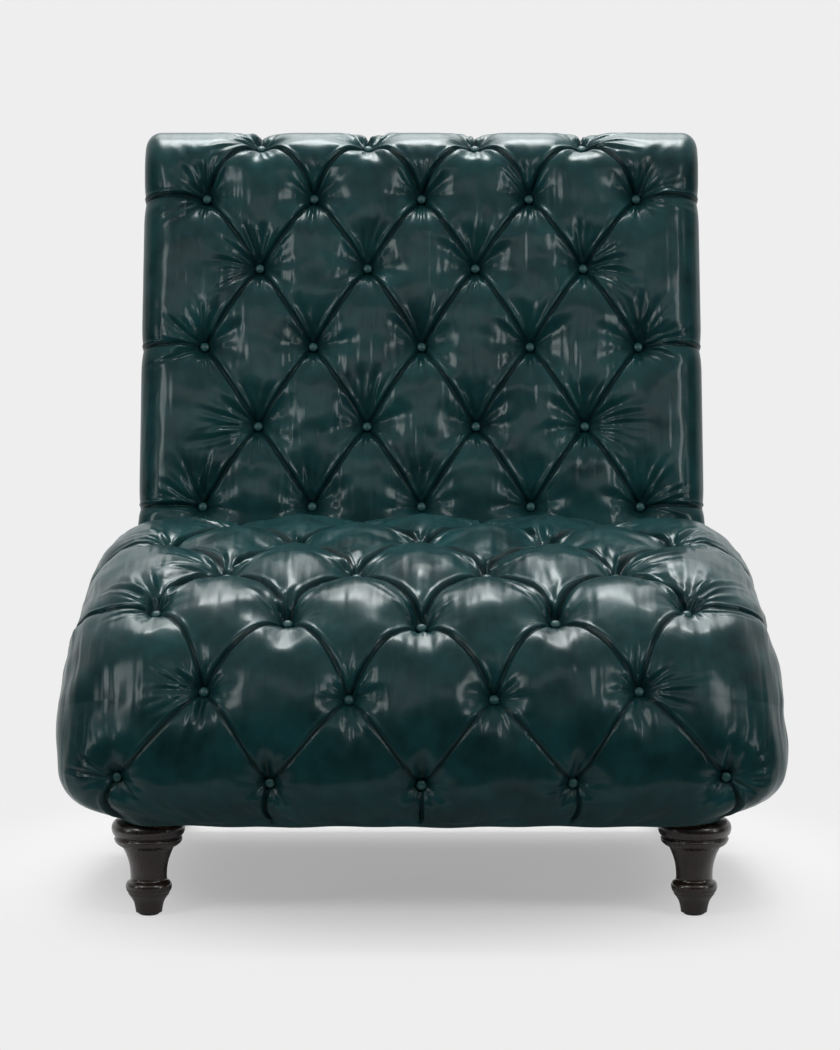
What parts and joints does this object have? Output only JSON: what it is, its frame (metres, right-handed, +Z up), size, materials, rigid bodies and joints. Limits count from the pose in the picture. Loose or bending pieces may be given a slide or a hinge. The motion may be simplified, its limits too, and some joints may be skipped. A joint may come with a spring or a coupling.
{
  "type": "tufted leather lounge chair",
  "caption": "Armless lounge chair with a deep-buttoned leather seat and rolled, raked back on turned wooden front legs and raked rear legs.",
  "frame": {"origin": "on the floor, under the centre of the chair's bounding box", "axes": "+Z up from the floor; the chair faces -Y, so its back leans towards +Y; +X to the right as seen from the front"},
  "size_m": [0.884, 0.8386, 0.9536],
  "materials": {
    "leather": "glossy dark teal-green leather with fine grain and light wear",
    "dark_wood": "turned hardwood, espresso stain, satin gloss lacquer",
    "frame_wood": "raw sawn hardwood, hidden",
    "foam": "soft upholstery foam, hidden",
    "webbing": "woven jute webbing, hidden",
    "steel": "plain zinc-plated steel, hidden",
    "glide": "black moulded plastic",
    "dust_cloth": "thin black non-woven cloth"
  },
  "bodies": {
    "root": {"back_buttons_1": "leather", "back_buttons_2": "leather", "back_buttons_3": "leather", "back_buttons_4": "leather", "back_buttons_5": "leather", "back_buttons_6": "leather", "back_cover": "leather", "back_cross_strap_1": "webbing", "back_cross_strap_2": "webbing", "back_cross_strap_3": "webbing", "back_foam": "foam", "back_strap_1": "webbing", "back_strap_2": "webbing", "back_strap_3": "webbing", "back_strap_4": "webbing", "corner_block_left": "frame_wood", "corner_block_right": "frame_wood", "crest_rail": "frame_wood", "dust_cover": "dust_cloth", "front_bolt_left": "steel", "front_bolt_right": "steel", "front_button_1": "leather", "front_button_2": "leather", "front_button_3": "leather", "front_button_4": "leather", "front_button_5": "leather", "front_glide_left": "glide", "front_glide_right": "glide", "front_leg_left": "dark_wood", "front_leg_right": "dark_wood", "front_rail": "frame_wood", "lower_back_rail": "frame_wood", "outside_back": "leather", "post_left": "frame_wood", "post_right": "frame_wood", "rear_bolt_left": "steel", "rear_bolt_right": "steel", "rear_glide_left": "glide", "rear_glide_right": "glide", "rear_leg_left": "dark_wood", "rear_leg_right": "dark_wood", "rear_rail": "frame_wood", "seat_buttons_1": "leather", "seat_buttons_2": "leather", "seat_buttons_3": "leather", "seat_buttons_4": "leather", "seat_buttons_5": "leather", "seat_cover": "leather", "seat_cross_strap_1": "webbing", "seat_cross_strap_2": "webbing", "seat_cross_strap_3": "webbing", "seat_foam": "foam", "seat_strap_1": "webbing", "seat_strap_2": "webbing", "seat_strap_3": "webbing", "seat_strap_4": "webbing", "side_rail_left": "frame_wood", "side_rail_right": "frame_wood"}
  },
  "joints": []
}
